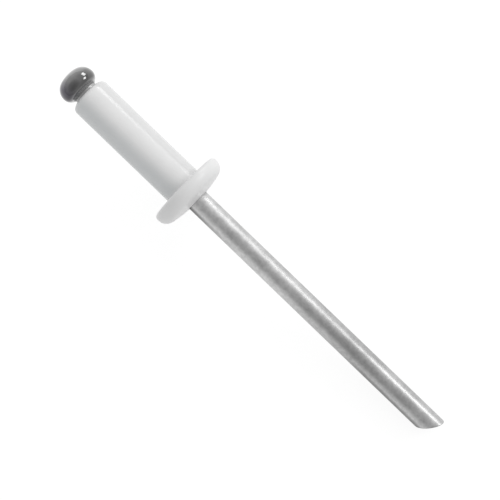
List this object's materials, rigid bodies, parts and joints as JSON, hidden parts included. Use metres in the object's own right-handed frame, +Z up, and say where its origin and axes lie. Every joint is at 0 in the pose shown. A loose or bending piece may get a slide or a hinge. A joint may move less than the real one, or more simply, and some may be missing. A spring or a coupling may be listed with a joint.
{
  "type": "blind rivet",
  "caption": "Blind rivet with a domed flange: a white painted aluminium sleeve on a bright steel mandrel with a dark rounded head and a sheared tail.",
  "frame": {"origin": "on the surface that the rivet lies on, under the middle of its bounding box", "axes": "+X along the lying rivet from the mandrel's head towards its sheared tail, +Z up. The rivet's own axis lies in the XZ plane and falls 5.17 degrees towards the tail"},
  "size_m": [0.048, 0.0078, 0.0079],
  "materials": {
    "painted_body": "satin",
    "mandrel_steel": "satin"
  },
  "bodies": {
    "root": {"rivet_body": "painted_body", "mandrel": "mandrel_steel"}
  },
  "joints": []
}
